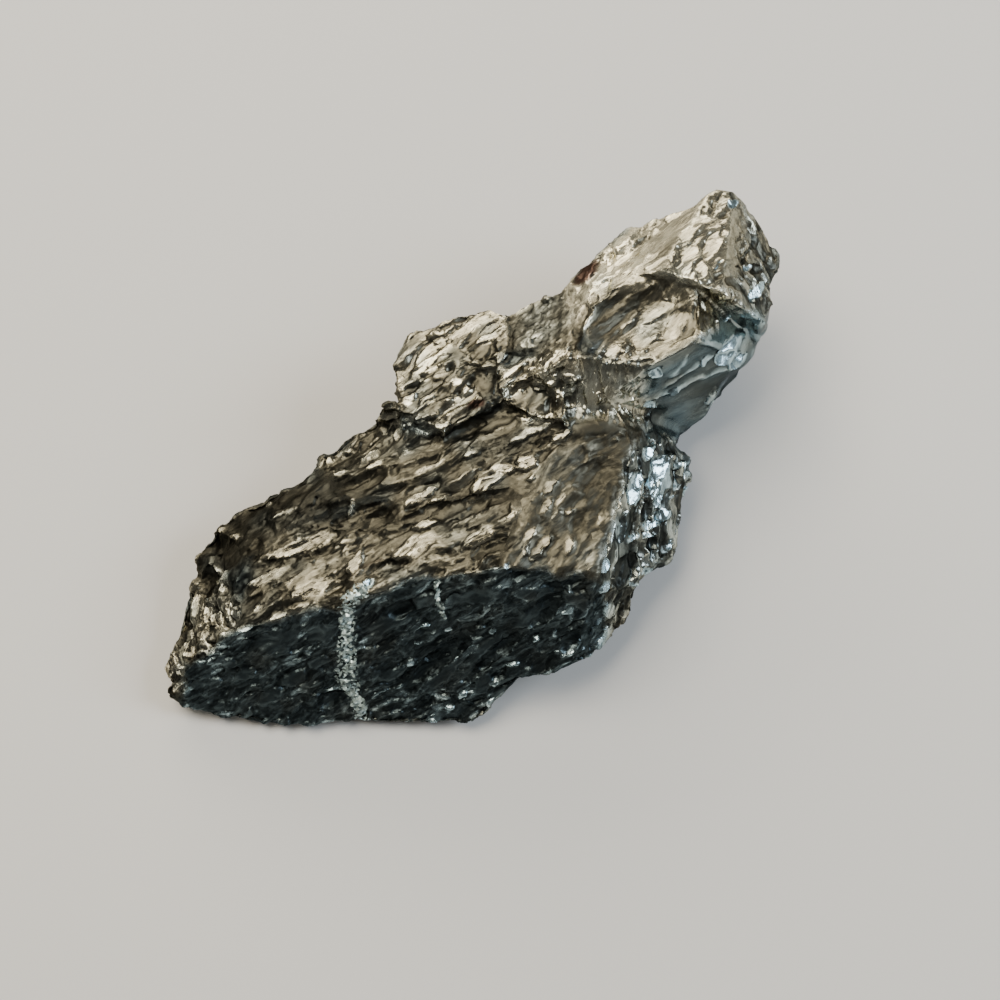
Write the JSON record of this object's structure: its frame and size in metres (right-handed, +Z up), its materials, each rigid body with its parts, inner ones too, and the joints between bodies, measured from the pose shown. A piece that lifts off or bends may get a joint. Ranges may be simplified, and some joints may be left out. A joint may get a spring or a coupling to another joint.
{
  "type": "shungite specimen",
  "caption": "Rough loose piece of glassy black shungite with stepped, shell-like fracture facets and a pale vein, lying on its flattest side.",
  "frame": {"origin": "on the resting face, under the middle of the stone's bounding box", "axes": "+Z up from the resting face, +X along the stone towards the raised arm and its tip, -Y towards the long dark front break's lower side"},
  "size_m": [0.0755, 0.036, 0.0218],
  "materials": {
    "shungite": "glassy, half-metallic black fracture faces with brown-grey tarnish on top and fine pitting, one pale sparkling vein"
  },
  "bodies": {
    "root": {"stone": "shungite"}
  },
  "joints": []
}
